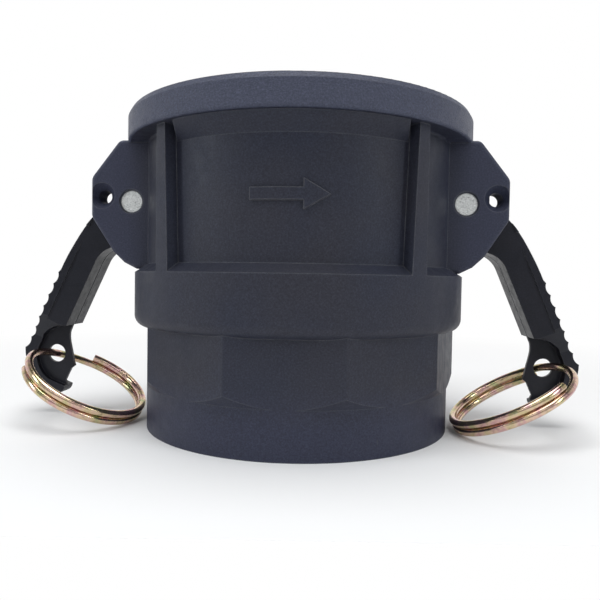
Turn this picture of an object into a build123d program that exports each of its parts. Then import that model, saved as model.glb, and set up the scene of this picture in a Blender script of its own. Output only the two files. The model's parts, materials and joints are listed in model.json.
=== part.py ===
"""Female cam-and-groove coupling, 2 1/2 inch size, with a female pipe thread at its foot.

Frame: millimetres, +Z up along the bore, origin at the centre of the bottom face.
The two cam levers stand to +X and -X, and the front of the coupling faces -Y.
"""
import os
from math import cos, radians, sin, sqrt

from build123d import *

# ---- driving dimensions: body ------------------------------------------------------------------
body_height = 91.6
foot_radius = 46.0  # also the plain drum above the collar
flange_radius = 51.8
flange_underside = 83.35
flange_bevel_height = 1.6
flange_bevel_depth = 0.9
gusset_radius = 50.0  # conical gusset under the flange, from rib to rib
gusset_bottom = 79.1
collar_radius = 49.7
collar_bottom = 29.9
collar_top = 45.7
collar_slope_top = 48.1
wrench_sides = 10
wrench_corner_radius = 48.3
wrench_bottom = 12.8
wrench_cone_height = 3.0
wrench_edge_radius = 0.5
rib_inner_x = 27.3
rib_outer_x = 34.7

thread_major_radius = 37.59  # G 2 1/2
thread_depth = 26.0
throat_radius = 30.15
gasket_seat = 33.0
gasket_recess_radius = 39.95
gasket_recess_top = 39.75
socket_radius = 38.25
pilot_radius = 39.2
pilot_bottom = 77.0
mouth_chamfer = 1.5

# ---- driving dimensions: ears, pins and safety-clip holes ---------------------------------------
pin_x = 48.2
pin_z = 66.2
pin_radius = 3.175
pin_recess = 0.5
pin_end_chamfer = 0.12
ear_gap = 14.6
ear_thickness = 8.9
ear_outer_x = 60.3
ear_top = 84.1
ear_edge_radius = 1.2
arrow_height = 0.7
slot_bottom = 52.4
slot_top = 75.7
clip_x = 56.9
clip_z = 67.8
clip_radius = 2.0
clip_countersink_radius = 3.8
clip_countersink_angle = 68.0
pin_hole_radius = 3.18
pin_recess_radius = 3.55
slot_depth_across = 17.0

# ---- driving dimensions: levers ------------------------------------------------------------------
lean_left = 24.7  # degrees that each handle stands out from the vertical
lean_right = 22.7
lever_bore_radius = 3.235
lever_web = 12.2
lever_rim = 13.0
rim_inner = 12.7  # distance of the rim's inner edge from the pin's centre, across the handle
grip_line = 15.4  # the same for the grip's tips
handle_inner = 6.3
tooth_pitch = 3.87
tooth_count = 7
tooth_depth = 0.65
tooth_start = 30.1
grip_flare_start = 44.0  # below this the grip flares outwards
grip_flare_slope = 0.095
tab_thickness = 2.4
rim_end = 6.2
groove_width = 0.35  # moulding line along the handle's inner edge
groove_depth = 0.3
ring_hole_radius = 2.85
ring_hole_across = 7.2
ring_hole_down = 55.05
cam_offset = 4.4
cam_radius = 8.8
cam_lean = 23.7
boss_radius = 6.9  # round the pin

# ---- driving dimensions: pull rings and gasket ----------------------------------------------------
wire_radius = 1.15
ring_radius = 17.9  # to the wire's middle
layer_gap = 0.06
step_sweep = 100.0  # arc over which the wire climbs from the lower turn to the upper one
step_steps = 8
# each ring hangs in its own way: degrees that it falls away inwards from its lever, degrees that its
# front droops, how far its centre stands in front of the lever's middle, how far its middle sags below
# the hole, and the angle from its outermost point where the wire starts to climb
ring_hang_left = (28.9, 5.3, 9.0, 0.7, -68.0)
ring_hang_right = (28.0, 0.0, 10.6, 0.8, -52.0)

gasket_outer_radius = 39.7
gasket_inner_radius = 30.6
gasket_height = 6.35
gasket_edge_radius = 0.6
gasket_clearance = 0.02

# ---- worked out from the above --------------------------------------------------------------------
ear_face = ear_gap / 2 + ear_thickness
layer_height = wire_radius + layer_gap / 2
grip_end = tooth_start + tooth_count * tooth_pitch


def grip_across(down):
    """Distance of the grip's tips from the pin's centre, across the handle."""
    return grip_line + grip_flare_slope * max(0, down - grip_flare_start)


def lever_plane(side, lean):
    """Plane of one lever's middle: x across the handle, outwards, and y up along it."""
    angle = radians(lean)
    return Plane(
        origin=(side * pin_x, 0, pin_z),
        x_dir=(side * cos(angle), 0, sin(angle)),
        z_dir=(0, -side, 0),
    )


# ---- body -------------------------------------------------------------------------------------------
with BuildPart() as wrench_band:
    with BuildSketch(Plane.XY.offset(wrench_bottom)):
        RegularPolygon(wrench_corner_radius, wrench_sides)
    extrude(amount=collar_bottom + 1 - wrench_bottom)
    fillet(wrench_band.edges().filter_by(Axis.Z), radius=wrench_edge_radius)
    with BuildSketch(Plane.XZ):
        with BuildLine():
            Polyline(
                (0, wrench_bottom),
                (foot_radius, wrench_bottom),
                (wrench_corner_radius, wrench_bottom + wrench_cone_height),
                (wrench_corner_radius, collar_bottom + 1),
                (0, collar_bottom + 1),
                close=True,
            )
        make_face()
    revolve(axis=Axis.Z, mode=Mode.INTERSECT)

# upright ribs beside the levers' slots, leaning a little outwards towards the flange
with BuildPart() as ribs:
    for side_x in (-1, 1):
        for side_y in (-1, 1):
            for height, shift in ((collar_top - 1, -0.8), (flange_underside + 1, 1.2)):
                with BuildSketch(Plane.XY.offset(height)):
                    with BuildLine():
                        Polyline(
                            (side_x * (rib_inner_x + shift), side_y * 28),
                            (side_x * (rib_inner_x + shift), side_y * 33),
                            (side_x * (rib_inner_x + 5.5 + shift), side_y * 41),
                            (side_x * rib_outer_x, side_y * 41),
                            (side_x * rib_outer_x, side_y * 28),
                            close=True,
                        )
                    make_face()
            loft()
    Cylinder(
        collar_radius,
        body_height,
        align=(Align.CENTER, Align.CENTER, Align.MIN),
        mode=Mode.INTERSECT,
    )

with BuildPart() as gussets:
    with BuildSketch(Plane.XZ):
        with BuildLine():
            Polyline(
                (foot_radius - 1, gusset_bottom),
                (foot_radius, gusset_bottom),
                (gusset_radius, flange_underside),
                (gusset_radius, flange_underside + 1),
                (foot_radius - 1, flange_underside + 1),
                close=True,
            )
        make_face()
    revolve(axis=Axis.Z)
    with BuildSketch(Plane.XY):
        Rectangle(2 * rib_inner_x + 4, 4 * foot_radius)
    extrude(amount=body_height, mode=Mode.INTERSECT)

with BuildPart() as ears:
    for side in (-1, 1):
        with BuildSketch(Plane.XZ) as ear_outline:
            with BuildLine():
                Polyline(
                    (side * 41, ear_top),
                    (side * 51.9, ear_top),
                    (side * ear_outer_x, 73.2),
                    (side * ear_outer_x, 61.7),
                    (side * 53.7, 51.5),
                    (side * 50.4, 48.4),
                    (side * 46.8, 46.6),
                    (side * 41, 46.6),
                    close=True,
                )
            make_face()
            corners = ear_outline.vertices().sort_by(Axis.X, reverse=side > 0)
            fillet(corners[:2], radius=3.0)
            fillet(ear_outline.vertices().sort_by_distance((side * 51.9, ear_top))[0], radius=2.2)
        extrude(amount=ear_face, both=True)
    with Locations((0, 0, pin_z)):
        Box(4 * ear_outer_x, ear_gap, body_height, mode=Mode.SUBTRACT)
    for outer_faces in (
        ears.faces().filter_by(Axis.Y).group_by(Axis.Y)[0],
        ears.faces().filter_by(Axis.Y).group_by(Axis.Y)[-1],
    ):
        fillet(outer_faces.edges(), radius=ear_edge_radius)

with BuildPart() as flow_arrow:
    with BuildSketch(Plane.XZ.offset(foot_radius - 2)):
        with BuildLine():
            Polyline(
                (-9, 63.1),
                (4, 63.1),
                (4, 60.9),
                (10.4, 64.6),
                (4, 68.3),
                (4, 66.1),
                (-9, 66.1),
                close=True,
            )
        make_face()
    extrude(amount=3)
    Cylinder(
        foot_radius + arrow_height,
        body_height,
        align=(Align.CENTER, Align.CENTER, Align.MIN),
        mode=Mode.INTERSECT,
    )

with BuildPart() as body:
    with BuildSketch(Plane.XZ) as wall:
        with BuildLine():
            Polyline(
                (thread_major_radius + mouth_chamfer, 0),
                (thread_major_radius, mouth_chamfer),
                (thread_major_radius, thread_depth),
                (throat_radius, thread_depth + 1.5),
                (throat_radius, gasket_seat),
                (gasket_recess_radius, gasket_seat),
                (gasket_recess_radius, gasket_recess_top),
                (socket_radius, gasket_recess_top),
                (socket_radius, pilot_bottom),
                (pilot_radius, pilot_bottom),
                (pilot_radius, body_height - mouth_chamfer),
                (pilot_radius + mouth_chamfer, body_height),
                (flange_radius - flange_bevel_depth, body_height),
                (flange_radius, body_height - flange_bevel_height),
                (flange_radius, flange_underside),
                (foot_radius, flange_underside),
                (foot_radius, collar_slope_top),
                (collar_radius, collar_top),
                (collar_radius, collar_bottom),
                (foot_radius, collar_bottom),
                (foot_radius, 0),
                close=True,
            )
        make_face()
        rim_corners = wall.vertices().group_by(Axis.X)[-1].sort_by(Axis.Y)
        fillet(rim_corners[0], radius=0.7)
        fillet(wall.vertices().sort_by_distance((flange_radius, body_height))[0], radius=0.4)
        drum_corners = wall.vertices().filter_by_position(Axis.X, foot_radius - 0.01, foot_radius + 0.01)
        fillet(drum_corners.sort_by(Axis.Y)[-1], radius=0.6)
        fillet(drum_corners.sort_by(Axis.Y)[0], radius=0.7)
        collar_corners = wall.vertices().filter_by_position(Axis.X, collar_radius - 0.01, collar_radius + 0.01)
        fillet(collar_corners.sort_by(Axis.Y)[0], radius=3.4)
        fillet(collar_corners.sort_by(Axis.Y)[-1], radius=0.8)
    revolve(axis=Axis.Z)
    for piece in (wrench_band, ribs, gussets, ears, flow_arrow):
        add(piece.part)
    with BuildSketch(Plane.XY):
        Circle(throat_radius)
    extrude(amount=body_height, mode=Mode.SUBTRACT)
    for bottom, top, radius in (
        (0, thread_depth, thread_major_radius),
        (gasket_recess_top, body_height, socket_radius),
    ):
        with BuildSketch(Plane.XY.offset(bottom)):
            Circle(radius)
        extrude(amount=top - bottom, mode=Mode.SUBTRACT)
    for side in (-1, 1):
        with BuildSketch(Plane.XZ) as slot:
            with Locations((side * 40.5, (slot_bottom + slot_top) / 2)):
                RectangleRounded(slot_depth_across, slot_top - slot_bottom, 2)
        extrude(amount=ear_gap / 2, both=True, mode=Mode.SUBTRACT)
        for face_side in (-1, 1):
            face_plane = Plane(
                origin=(0, face_side * ear_face, 0), x_dir=(1, 0, 0), z_dir=(0, face_side, 0)
            )
            pin_place = face_plane.to_local_coords(Vector(side * pin_x, face_side * ear_face, pin_z))
            clip_place = face_plane.to_local_coords(Vector(side * clip_x, face_side * ear_face, clip_z))
            with Locations(face_plane):
                with Locations(pin_place):
                    CounterBoreHole(pin_hole_radius, pin_recess_radius, pin_recess, depth=ear_thickness + 1)
                with Locations(clip_place):
                    CounterSinkHole(
                        clip_radius,
                        clip_countersink_radius,
                        depth=ear_thickness + 1,
                        counter_sink_angle=clip_countersink_angle,
                    )
body.part.label = "body"

# ---- gasket -------------------------------------------------------------------------------------------
with BuildPart() as gasket:
    with BuildSketch(Plane.XY.offset(gasket_seat + gasket_clearance)):
        Circle(gasket_outer_radius)
        Circle(gasket_inner_radius, mode=Mode.SUBTRACT)
    extrude(amount=gasket_height)
    fillet(gasket.edges(), radius=gasket_edge_radius)
gasket.part.label = "gasket"

# ---- lever pins ------------------------------------------------------------------------------------------
pins = {}
for name, side in (("pin_left", -1), ("pin_right", 1)):
    with BuildPart() as pin:
        with BuildSketch(Plane.XZ):
            with Locations((side * pin_x, pin_z)):
                Circle(pin_radius)
        extrude(amount=ear_face - pin_recess, both=True)
        chamfer(pin.edges().filter_by(GeomType.CIRCLE), length=pin_end_chamfer)
    pin.part.label = name
    pins[name] = pin.part

# ---- cam levers --------------------------------------------------------------------------------------------
levers = {}
for name, side, lean in (("lever_left", -1, lean_left), ("lever_right", 1, lean_right)):
    plane = lever_plane(side, lean)
    cam_angle = radians(cam_lean)
    with BuildPart() as lever:
        # handle and neck
        with BuildSketch(plane) as outline:
            with BuildLine() as edge:
                Line((-3.5, -7.0), (3.1, -15.6))
                ThreePointArc((3.1, -15.6), (5.2, -18.0), (handle_inner, -22.0))
                Line((handle_inner, -22.0), (handle_inner, -46.6))
                Spline(
                    [(handle_inner, -46.6), (4.6, -50.2), (2.4, -53.2), (0.2, -56.1)],
                    tangents=[(-0.2, -1), (-0.7, -0.7)],
                )
                Polyline((0.2, -56.1), (0.95, -57.6), (1.0, -61.8))
                ThreePointArc((1.0, -61.8), (-0.3, -63.9), (1.5, -66.5))
                Line((1.5, -66.5), (3.6, -66.9))
                ThreePointArc((3.6, -66.9), (12.9, -62.6), (grip_across(grip_end), -grip_end))
                for tooth in range(tooth_count, 0, -1):
                    tip = tooth_start + tooth * tooth_pitch
                    trough = tip - 0.42 * tooth_pitch
                    ThreePointArc(
                        (grip_across(tip), -tip),
                        (grip_across(trough) - tooth_depth, -trough),
                        (grip_across(tip - tooth_pitch), -tip + tooth_pitch),
                    )
                Line((grip_line, -tooth_start), (15.0, -29.0))
                Spline(
                    [(15.0, -29.0), (14.6, -20.3), (13.4, -12.3), (11.9, -7.8)],
                    tangents=[(0, 1), (-0.4, 1)],
                )
                Polyline((11.9, -7.8), (10.4, -5.0), (0, -4.4), (-3.5, -7.0))
            make_face()
        extrude(amount=lever_web / 2, both=True)
        # pin boss and cam
        with BuildSketch(plane):
            Circle(boss_radius)
            with Locations((-cam_offset * cos(cam_angle), cam_offset * sin(cam_angle))):
                Circle(cam_radius)
        extrude(amount=lever_web / 2, both=True)
        # thicker rim along the outside of the handle
        with BuildSketch(plane):
            add(outline.sketch_local)
            with Locations((rim_inner, -35)):
                Rectangle(20, 100, align=(Align.MAX, Align.CENTER), mode=Mode.SUBTRACT)
        extrude(amount=lever_rim / 2, both=True)
        # the end thins down to a tab with the ring's hole, inside a curled rim
        with BuildSketch(plane) as pocket:
            with BuildLine():
                Line((-4, -44.3), (6.1, -44.3))
                ThreePointArc((6.1, -44.3), (10.3, -46.9), (rim_inner, -50.6))
                Line((rim_inner, -50.6), (rim_inner, -56.0))
                ThreePointArc((rim_inner, -56.0), (10.6, -60.4), (5.4, -63.3))
                Polyline((5.4, -63.3), (-4, -62.8), (-4, -44.3))
            make_face()
        for face_side in (-1, 1):
            extrude(
                pocket.sketch.moved(Location((0, face_side * tab_thickness / 2, 0))),
                amount=lever_rim,
                dir=(0, face_side, 0),
                mode=Mode.SUBTRACT,
            )
        # the rim fades into the neck, and narrows towards its curl, so that the ring can swing past it
        fade_start = plane.from_local_coords((-1.5, 0, 0))
        with BuildSketch(Plane(fade_start, x_dir=plane.y_dir, z_dir=plane.x_dir)):
            for face_side in (-1, 1):
                with BuildLine():
                    Polyline(
                        (-13, face_side * lever_web / 2),
                        (-17, face_side * lever_web / 2),
                        (-24, face_side * lever_rim / 2),
                        (-44, face_side * lever_rim / 2),
                        (-52, face_side * rim_end / 2),
                        (-70, face_side * rim_end / 2),
                        (-70, face_side * lever_rim),
                        (-13, face_side * lever_rim),
                        close=True,
                    )
                make_face()
        extrude(amount=30, mode=Mode.SUBTRACT)
        # moulding line
        with BuildSketch(plane):
            with Locations((4, -31)):
                Rectangle(8, 29)
            add(outline.sketch_local.moved(Location((groove_depth, 0, 0))), mode=Mode.SUBTRACT)
        extrude(amount=groove_width / 2, both=True, mode=Mode.SUBTRACT)
        # holes
        with BuildSketch(plane):
            Circle(lever_bore_radius)
            with Locations((ring_hole_across, -ring_hole_down)):
                Circle(ring_hole_radius)
        extrude(amount=lever_rim, both=True, mode=Mode.SUBTRACT)
    lever.part.label = name
    levers[name] = lever.part

# ---- pull rings ------------------------------------------------------------------------------------------
rings = {}
for name, side, lean, (slope_degrees, droop_degrees, forward, sag, step_start) in (
    ("ring_left", -1, lean_left, ring_hang_left),
    ("ring_right", 1, lean_right, ring_hang_right),
):
    slope = radians(slope_degrees)
    droop = radians(droop_degrees)
    upwards = Vector(-side * sin(slope), 0, cos(slope))
    outwards = Vector(side * cos(slope), 0, sin(slope))
    frontwards = Vector(0, -1, 0)
    hole = lever_plane(side, lean).from_local_coords((ring_hole_across, -ring_hole_down, 0))
    reach = sqrt(ring_radius**2 - forward**2)
    # local x runs from the ring's centre to its outermost point, local y to one side
    ring_plane = Plane(
        origin=hole - outwards * reach + frontwards * forward - upwards * sag,
        x_dir=outwards,
        z_dir=upwards * cos(droop) + frontwards * sin(droop),
    )
    step_end = step_start + step_sweep
    with BuildPart() as ring:
        with BuildLine(ring_plane) as wire:
            lower = CenterArc((0, 0, -layer_height), ring_radius, step_end, 360 - step_sweep)
            climb = []
            for index in range(step_steps + 1):
                share = index / step_steps
                angle = radians(step_start + share * step_sweep)
                rise = layer_height * (share * share * (3 - 2 * share) * 2 - 1)
                climb.append((ring_radius * cos(angle), ring_radius * sin(angle), rise))
            Spline(climb, tangents=[lower % 1, lower % 0])
            CenterArc((0, 0, layer_height), ring_radius, step_end, 360 - step_sweep)
        with BuildSketch(Plane(wire.line @ 0, z_dir=wire.line % 0)):
            Circle(wire_radius)
        sweep(path=wire.line)
    ring.part.label = name
    rings[name] = ring.part

# ---- files --------------------------------------------------------------------------------------------------
os.makedirs("parts", exist_ok=True)
export_step(body.part, "parts/body.step")
export_step(gasket.part, "parts/gasket.step")
for group in (pins, levers, rings):
    for name, piece in group.items():
        export_step(piece, f"parts/{name}.step")
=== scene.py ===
"""Looks of the camlock coupling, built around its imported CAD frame. Units are metres."""
import json
import math

import bmesh
import bpy
from mathutils import Matrix, Vector


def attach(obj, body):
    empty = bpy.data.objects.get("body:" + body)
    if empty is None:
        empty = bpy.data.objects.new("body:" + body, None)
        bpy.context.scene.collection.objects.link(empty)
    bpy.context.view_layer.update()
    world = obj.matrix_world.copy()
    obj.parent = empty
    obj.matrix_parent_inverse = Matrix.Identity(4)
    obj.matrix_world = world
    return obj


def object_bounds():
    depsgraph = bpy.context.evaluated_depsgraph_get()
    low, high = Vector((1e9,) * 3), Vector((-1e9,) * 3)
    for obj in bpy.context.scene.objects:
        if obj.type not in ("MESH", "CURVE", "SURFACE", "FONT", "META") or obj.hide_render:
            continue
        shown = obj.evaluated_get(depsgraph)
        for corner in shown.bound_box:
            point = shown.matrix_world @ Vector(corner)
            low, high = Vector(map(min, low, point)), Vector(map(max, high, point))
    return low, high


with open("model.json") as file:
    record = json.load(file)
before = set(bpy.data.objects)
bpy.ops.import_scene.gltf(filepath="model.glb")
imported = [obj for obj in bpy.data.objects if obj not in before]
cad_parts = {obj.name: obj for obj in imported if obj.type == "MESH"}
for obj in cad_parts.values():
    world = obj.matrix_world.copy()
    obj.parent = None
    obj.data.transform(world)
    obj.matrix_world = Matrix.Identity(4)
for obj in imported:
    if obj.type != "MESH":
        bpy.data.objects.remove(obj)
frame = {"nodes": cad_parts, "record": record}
cad_low, cad_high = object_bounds()

MM = 0.001

# where the body's paint changes
BODY_HEIGHT = 92 * MM
EAR_REACH = 52 * MM
FLANGE_BAND_RADIUS = 51.0 * MM
FLANGE_BAND_LOW = 83.3 * MM
SMOOTH_ANGLE = math.radians(32)


# ---- node helpers -----------------------------------------------------------------------------------
class Shader:
    """A small builder for one procedural material."""

    def __init__(self, name, roughness, metallic=0.0, specular=0.5):
        self.material = bpy.data.materials.new(name)
        self.material.use_nodes = True
        self.tree = self.material.node_tree
        self.bsdf = self.tree.nodes["Principled BSDF"]
        self.bsdf.inputs["Roughness"].default_value = roughness
        self.bsdf.inputs["Metallic"].default_value = metallic
        self.bsdf.inputs["Specular IOR Level"].default_value = specular
        self.place = self.node("ShaderNodeTexCoord").outputs["Object"]

    def node(self, kind, **settings):
        made = self.tree.nodes.new(kind)
        for key, value in settings.items():
            if key in made.inputs:
                made.inputs[key].default_value = value
            else:
                setattr(made, key, value)
        return made

    def link(self, source, target):
        self.tree.links.new(source, target)

    def noise(self, size, detail=3.0, rough=0.55, stretch=(1, 1, 1)):
        """Noise whose blobs are about size metres across."""
        made = self.node("ShaderNodeTexNoise", Scale=1.0, Detail=detail, Roughness=rough)
        scale = self.node("ShaderNodeVectorMath", operation="MULTIPLY")
        scale.inputs[1].default_value = [axis / size for axis in stretch]
        self.link(self.place, scale.inputs[0])
        self.link(scale.outputs[0], made.inputs["Vector"])
        return made.outputs["Fac"]

    def ramp(self, source, *stops):
        """Colour ramp; each stop is (position, colour or grey)."""
        made = self.node("ShaderNodeValToRGB")
        elements = made.color_ramp.elements
        while len(elements) < len(stops):
            elements.new(0.5)
        for element, (position, colour) in zip(elements, stops):
            element.position = position
            if isinstance(colour, (int, float)):
                colour = (colour, colour, colour)
            element.color = (*colour, 1)
        self.link(source, made.inputs["Fac"])
        return made.outputs["Color"]

    def math(self, operation, *values):
        made = self.node("ShaderNodeMath", operation=operation)
        for index, value in enumerate(values):
            if isinstance(value, (int, float)):
                made.inputs[index].default_value = value
            else:
                self.link(value, made.inputs[index])
        return made.outputs[0]

    def mix(self, share, first, second, blend="MIX"):
        made = self.node("ShaderNodeMix", data_type="RGBA", blend_type=blend)
        factor, colour_a, colour_b = made.inputs[0], made.inputs[6], made.inputs[7]
        for socket, value in zip((factor, colour_a, colour_b), (share, first, second)):
            if isinstance(value, tuple):
                socket.default_value = (*value, 1)
            elif isinstance(value, (int, float)):
                socket.default_value = value
            else:
                self.link(value, socket)
        return made.outputs[2]

    def bump(self, height, depth, strength=1.0, below=None):
        made = self.node("ShaderNodeBump", Strength=strength, Distance=depth)
        self.link(height, made.inputs["Height"])
        if below is not None:
            self.link(below, made.inputs["Normal"])
        return made.outputs["Normal"]

    def soft_edges(self, radius):
        made = self.node("ShaderNodeBevel", Radius=radius, samples=6)
        return made.outputs["Normal"]

    def edges(self, radius):
        """1 on the edges, 0 on the flats."""
        turned = self.node("ShaderNodeVectorMath", operation="DOT_PRODUCT")
        self.link(self.soft_edges(radius), turned.inputs[0])
        self.link(self.node("ShaderNodeNewGeometry").outputs["Normal"], turned.inputs[1])
        return self.ramp(turned.outputs["Value"], (0.90, 1.0), (0.985, 0.0))

    def split(self, vector):
        made = self.node("ShaderNodeSeparateXYZ")
        self.link(vector, made.inputs[0])
        return made.outputs

    def colour(self, source):
        self.link(source, self.bsdf.inputs["Base Color"])

    def roughness(self, source):
        self.link(source, self.bsdf.inputs["Roughness"])

    def normal(self, source):
        self.link(source, self.bsdf.inputs["Normal"])


# ---- materials ----------------------------------------------------------------------------------------
def body_plastic():
    """Charcoal glass-filled polypropylene: moulded grain, a leathery flange and a painted highlight along the
    edges.
    """
    s = Shader("body_plastic", 0.5, specular=0.26)
    across, along, up = s.split(s.place)
    tint = s.ramp(
        s.noise(30 * MM, detail=2),
        (0.35, (0.0255, 0.0290, 0.0465)),
        (0.65, (0.0305, 0.0315, 0.0440)),
    )
    # the foot is a little bluer than the drum
    level = s.math("DIVIDE", up, BODY_HEIGHT)
    low = s.ramp(level, (0.08, 1.0), (0.20, 0.0))
    tint = s.mix(low, tint, (0.0315, 0.0350, 0.0600))
    # the ears and the body's outermost walls above the collar are paler and bluer
    outer = s.ramp(s.math("DIVIDE", s.math("ABSOLUTE", across), EAR_REACH), (0.78, 0.0), (0.95, 1.0))
    upper = s.ramp(level, (0.40, 0.0), (0.48, 1.0))
    tint = s.mix(s.math("MULTIPLY", outer, upper), tint, (0.0400, 0.0440, 0.0720))
    # the flange's outer band is the palest, and leathery
    radius = s.math("SQRT", s.math("ADD", s.math("POWER", across, 2.0), s.math("POWER", along, 2.0)))
    band = s.math(
        "MULTIPLY",
        s.math("GREATER_THAN", radius, FLANGE_BAND_RADIUS),
        s.math("GREATER_THAN", up, FLANGE_BAND_LOW),
    )
    tint = s.mix(band, tint, (0.0620, 0.0690, 0.1060))
    speck = s.ramp(s.noise(0.45 * MM, detail=4, rough=0.7), (0.35, 0.72), (0.5, 1.0), (0.68, 1.5))
    tint = s.mix(0.8, tint, speck, "MULTIPLY")
    # pale scuffs, few and upright, and a painted highlight along the edges, broken up by noise
    scuffs = s.ramp(s.noise(1.3 * MM, detail=5, rough=0.75, stretch=(1, 1, 0.25)), (0.66, 0.0), (0.78, 0.5))
    tint = s.mix(scuffs, tint, (0.075, 0.078, 0.088))
    painted_edge_highlight = s.math("MULTIPLY", s.edges(0.5 * MM), s.ramp(s.noise(2 * MM), (0.3, 0.35), (0.7, 1.0)))
    s.colour(s.mix(painted_edge_highlight, tint, (0.110, 0.114, 0.130)))
    s.roughness(s.ramp(s.noise(3 * MM, detail=4), (0.3, 0.42), (0.7, 0.56)))
    grain = s.bump(s.noise(0.4 * MM, detail=3), 0.035 * MM, 0.7, s.soft_edges(0.3 * MM))
    hide = s.noise(0.9 * MM, detail=4, rough=0.65, stretch=(1, 1, 2.4))
    s.normal(s.bump(s.math("MULTIPLY", hide, band), 0.22 * MM, 0.9, grain))
    return s.material


def lever_plastic():
    """Darker and smoother than the body."""
    s = Shader("lever_plastic", 0.4, specular=0.3)
    tint = s.ramp(
        s.noise(12 * MM, detail=2), (0.35, (0.0080, 0.0090, 0.0150)), (0.65, (0.0120, 0.0125, 0.0190))
    )
    speck = s.ramp(s.noise(0.4 * MM, detail=4, rough=0.7), (0.4, 0.8), (0.68, 1.5))
    tint = s.mix(0.7, tint, speck, "MULTIPLY")
    # painted highlight along the edges, broken up by noise
    painted_edge_highlight = s.math("MULTIPLY", s.edges(0.4 * MM), s.ramp(s.noise(1.5 * MM), (0.3, 0.3), (0.7, 1.0)))
    s.colour(s.mix(painted_edge_highlight, tint, (0.06, 0.062, 0.072)))
    s.roughness(s.ramp(s.noise(2 * MM, detail=4), (0.3, 0.32), (0.7, 0.46)))
    s.normal(s.bump(s.noise(0.4 * MM), 0.025 * MM, 0.6, s.soft_edges(0.35 * MM)))
    return s.material


def pin_steel():
    """Bright bar with rough sheared ends: pits and smears."""
    s = Shader("pin_steel", 0.45, metallic=0.8)
    tears = s.noise(0.55 * MM, detail=5, rough=0.7, stretch=(1, 1, 1.8))
    s.colour(s.ramp(tears, (0.28, (0.20, 0.20, 0.19)), (0.42, (0.60, 0.61, 0.60)), (0.7, (0.88, 0.89, 0.87))))
    s.roughness(s.ramp(s.noise(0.8 * MM, detail=3), (0.3, 0.36), (0.7, 0.62)))
    smears = s.bump(s.noise(1.1 * MM, detail=3, stretch=(2.2, 1, 1)), 0.20 * MM, 0.8, s.soft_edges(0.2 * MM))
    s.normal(s.bump(tears, 0.12 * MM, 0.9, smears))
    return s.material


def ring_zinc():
    """Yellow-passivated zinc on wire: pale gold with pink and green blushes."""
    s = Shader("ring_zinc", 0.17, metallic=1.0)
    tint = s.ramp(
        s.noise(3.2 * MM, detail=2, rough=0.45),
        (0.30, (0.44, 0.45, 0.24)),
        (0.41, (0.62, 0.50, 0.29)),
        (0.55, (0.72, 0.51, 0.39)),
        (0.66, (0.60, 0.35, 0.35)),
        (0.76, (0.68, 0.52, 0.37)),
    )
    worn = s.ramp(s.noise(0.7 * MM, detail=4, rough=0.7), (0.60, 0.0), (0.74, 0.7))
    tint = s.mix(worn, tint, (0.78, 0.76, 0.72))
    # painted reflection: dark patches on the wire stand in for the dark surroundings it mirrors
    painted_dark_reflection = s.ramp(s.noise(1.1 * MM, detail=4, rough=0.6), (0.30, 0.55), (0.44, 0.0))
    s.colour(s.mix(painted_dark_reflection, tint, (0.16, 0.12, 0.08)))
    s.roughness(s.ramp(s.noise(0.8 * MM, detail=3), (0.3, 0.12), (0.7, 0.27)))
    s.normal(s.bump(s.noise(0.6 * MM, detail=3), 0.02 * MM, 0.6))
    return s.material


def gasket_rubber():
    """Dull black rubber with a talc bloom."""
    s = Shader("gasket_rubber", 0.62, specular=0.35)
    s.colour(s.ramp(s.noise(6 * MM, detail=5, rough=0.65), (0.35, 0.010), (0.62, 0.020), (0.75, 0.045)))
    s.roughness(s.ramp(s.noise(2 * MM), (0.3, 0.52), (0.7, 0.74)))
    s.normal(s.bump(s.noise(0.5 * MM), 0.02 * MM, 0.5, s.soft_edges(0.3 * MM)))
    return s.material


MATERIALS = {
    "body_plastic": body_plastic(),
    "lever_plastic": lever_plastic(),
    "pin_steel": pin_steel(),
    "ring_zinc": ring_zinc(),
    "gasket_rubber": gasket_rubber(),
}


def dress_frame():
    """Gives every CAD node its material and smooth shading."""
    slots = {part["node"]: part["material_slot"] for part in frame["record"]["subparts"]}
    for name, node in frame["nodes"].items():
        node.data.materials.clear()
        node.data.materials.append(MATERIALS[slots[name]])
        bpy.ops.object.select_all(action="DESELECT")
        node.select_set(True)
        bpy.context.view_layer.objects.active = node
        bpy.ops.object.shade_smooth_by_angle(angle=SMOOTH_ANGLE)


dress_frame()


# ---- pipe thread ------------------------------------------------------------------------------------------
THREAD_MAJOR = 37.59 * MM
THREAD_MINOR = 36.11 * MM
THREAD_PITCH = 2.309 * MM
THREAD_LOW = 2.2 * MM
THREAD_TURNS = 9.5
STEPS_PER_TURN = 90
# one section: (share of the depth towards the axis, share of the pitch up from the ridge's middle)
THREAD_SECTION = (
    (-0.15, -0.46),
    (0.62, -0.17),
    (0.9, -0.10),
    (1.0, 0.0),
    (0.9, 0.10),
    (0.62, 0.17),
    (-0.15, 0.46),
)
# the share of the ridge that is left at its very ends
THREAD_END_SHARE = 0.02


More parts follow.
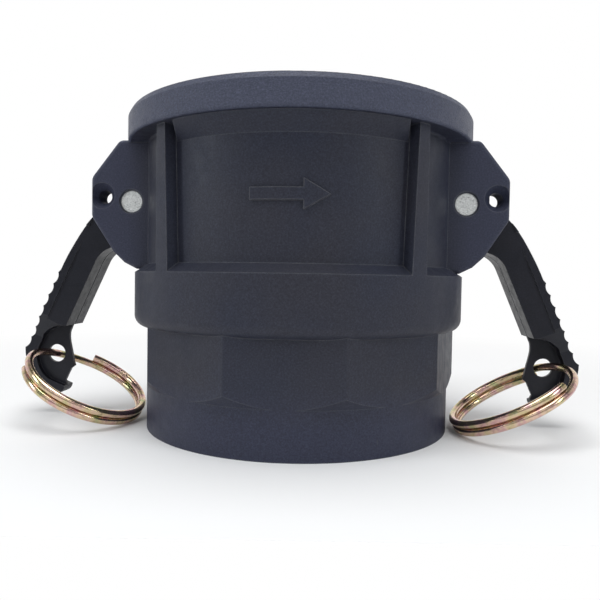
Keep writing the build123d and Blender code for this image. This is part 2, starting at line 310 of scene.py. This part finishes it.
def make_thread():
    """The ridge of the foot's female thread, which fades in and out over half a turn."""
    mesh = bpy.data.meshes.new("thread_form")
    thread = bpy.data.objects.new("thread_form", mesh)
    bpy.context.scene.collection.objects.link(thread)
    shape = bmesh.new()
    steps = round(THREAD_TURNS * STEPS_PER_TURN)
    count = len(THREAD_SECTION)
    first = before = None
    for step in range(steps + 1):
        turn = step / STEPS_PER_TURN
        angle = 2 * math.pi * turn
        fade = min(1.0, 2 * turn + THREAD_END_SHARE, 2 * (THREAD_TURNS - turn) + THREAD_END_SHARE)
        ring = []
        for inward, rise in THREAD_SECTION:
            depth = inward * (THREAD_MAJOR - THREAD_MINOR) * (fade if inward > 0 else 1.0)
            radius = THREAD_MAJOR - depth
            height = THREAD_LOW + (turn + rise) * THREAD_PITCH
            ring.append(shape.verts.new((radius * math.cos(angle), radius * math.sin(angle), height)))
        if before:
            for index in range(count):
                after = (index + 1) % count
                shape.faces.new((before[index], before[after], ring[after], ring[index]))
        else:
            first = ring
        before = ring
    shape.faces.new(first)
    shape.faces.new(reversed(before))
    bmesh.ops.recalc_face_normals(shape, faces=shape.faces)
    for face in shape.faces:
        face.smooth = True
    shape.to_mesh(mesh)
    shape.free()
    mesh.materials.append(MATERIALS["body_plastic"])
    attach(thread, "housing")


make_thread()


# ---- stage ------------------------------------------------------------------------------------------------
# The studio is white behind the object and dimmer in front, above the camera, as a product booth is. The
# floor turns into the same white towards the horizon, so that no line shows.
BACK_LIGHT = 1.0
FRONT_LIGHT = 0.42
TOP_DIMMING = 0.8
# distances from the middle, in metres, over which the floor's paint turns into the booth's white
FLOOR_FADE_START = 0.10
FLOOR_FADE_END = 0.34
FLOOR_HALF = 6.0
BOOTH_BLUE = (0.88, 0.94, 1.0)


def eased(tree, source, low, high, at_low, at_high):
    """Socket that eases from at_low to at_high while the source goes from low to high."""
    made = tree.nodes.new("ShaderNodeMapRange")
    made.interpolation_type = "SMOOTHSTEP"
    for name, value in (("From Min", low), ("From Max", high), ("To Min", at_low), ("To Max", at_high)):
        made.inputs[name].default_value = value
    tree.links.new(source, made.inputs["Value"])
    return made.outputs["Result"]


def booth_light(tree, direction, dimming):
    """Socket with the booth's brightness along a direction; dimming is how much less light its top has."""
    unit = tree.nodes.new("ShaderNodeVectorMath")
    unit.operation = "NORMALIZE"
    tree.links.new(direction, unit.inputs[0])
    axes = tree.nodes.new("ShaderNodeSeparateXYZ")
    tree.links.new(unit.outputs[0], axes.inputs[0])
    around = eased(tree, axes.outputs["Y"], -0.25, 0.55, FRONT_LIGHT, BACK_LIGHT)
    height = eased(tree, axes.outputs["Z"], 0.55, 0.8, 1.0, 1.0 - dimming)
    product = tree.nodes.new("ShaderNodeMath")
    product.operation = "MULTIPLY"
    tree.links.new(around, product.inputs[0])
    tree.links.new(height, product.inputs[1])
    return product.outputs[0]


def floor_paint():
    """Pale matt paint, which shines with the booth's own white far from the object."""
    s = Shader("floor_paint", 0.9, specular=0.1)
    s.colour(s.ramp(s.noise(0.5), (0.3, 0.86), (0.7, 0.88)))
    distance = s.node("ShaderNodeVectorMath", operation="LENGTH")
    s.link(s.place, distance.inputs[0])
    far = eased(s.tree, distance.outputs["Value"], FLOOR_FADE_START, FLOOR_FADE_END, 0.0, 1.0)
    glow = s.node("ShaderNodeEmission")
    s.link(booth_light(s.tree, s.place, 0.0), glow.inputs["Strength"])
    blend = s.node("ShaderNodeMixShader")
    s.link(far, blend.inputs["Fac"])
    s.link(s.bsdf.outputs["BSDF"], blend.inputs[1])
    s.link(glow.outputs[0], blend.inputs[2])
    s.link(blend.outputs[0], s.tree.nodes["Material Output"].inputs["Surface"])
    return s.material


def make_floor():
    mesh = bpy.data.meshes.new("floor")
    floor = bpy.data.objects.new("floor", mesh)
    bpy.context.scene.collection.objects.link(floor)
    shape = bmesh.new()
    bmesh.ops.create_grid(shape, x_segments=1, y_segments=1, size=FLOOR_HALF)
    bmesh.ops.translate(shape, verts=shape.verts, vec=(0, 0, cad_low.z))
    shape.to_mesh(mesh)
    shape.free()
    mesh.materials.append(floor_paint())


make_floor()


def softbox(name, place, size, power, aim=(0, 0, 0.045), colour=(1, 1, 1)):
    light = bpy.data.lights.new(name, "AREA")
    light.shape = "RECTANGLE"
    light.size, light.size_y = size
    light.energy = power
    light.color = colour
    lamp = bpy.data.objects.new(name, light)
    bpy.context.scene.collection.objects.link(lamp)
    lamp.location = place
    lamp.rotation_mode = "QUATERNION"
    lamp.rotation_quaternion = (Vector(aim) - Vector(place)).to_track_quat("-Z", "Y")


softbox("overhead", (0.0, -0.10, 0.80), (0.6, 0.6), 5.0)
softbox("left_box", (-0.65, -0.30, 0.35), (0.12, 0.5), 1.4, colour=BOOTH_BLUE)
softbox("right_box", (0.65, -0.40, 0.40), (0.12, 0.5), 1.2, colour=BOOTH_BLUE)
softbox("front_box", (0.0, -0.90, 0.70), (0.9, 0.15), 0.9, colour=(0.9, 0.95, 1.0))

world = bpy.data.worlds.new("studio")
world.use_nodes = True
backdrop = world.node_tree.nodes["Background"]
backdrop.inputs["Color"].default_value = (1, 1, 1, 1)
looking = world.node_tree.nodes.new("ShaderNodeTexCoord").outputs["Generated"]
world.node_tree.links.new(booth_light(world.node_tree, looking, TOP_DIMMING), backdrop.inputs["Strength"])
bpy.context.scene.world = world
bpy.context.scene.view_settings.view_transform = "Standard"


def make_camera():
    """Close in front and a little to the right, nearly level, as a phone held by the table."""
    data = bpy.data.cameras.new("camera")
    data.lens = 35.39
    data.sensor_width = 36
    camera = bpy.data.objects.new("camera", data)
    bpy.context.scene.collection.objects.link(camera)
    # metres, then radians
    distance = 0.18613
    height = 0.044405
    azimuth = 0.0669
    pan = 0.0032
    pitch = 0.0357
    roll = 0.0167
    camera.matrix_world = (
        Matrix.Translation((distance * math.sin(azimuth), -distance * math.cos(azimuth), height))
        @ Matrix.Rotation(azimuth - pan, 4, "Z")
        @ Matrix.Rotation(math.pi / 2 - pitch, 4, "X")
        @ Matrix.Rotation(roll, 4, "Z")
    )
    bpy.context.scene.camera = camera


make_camera()
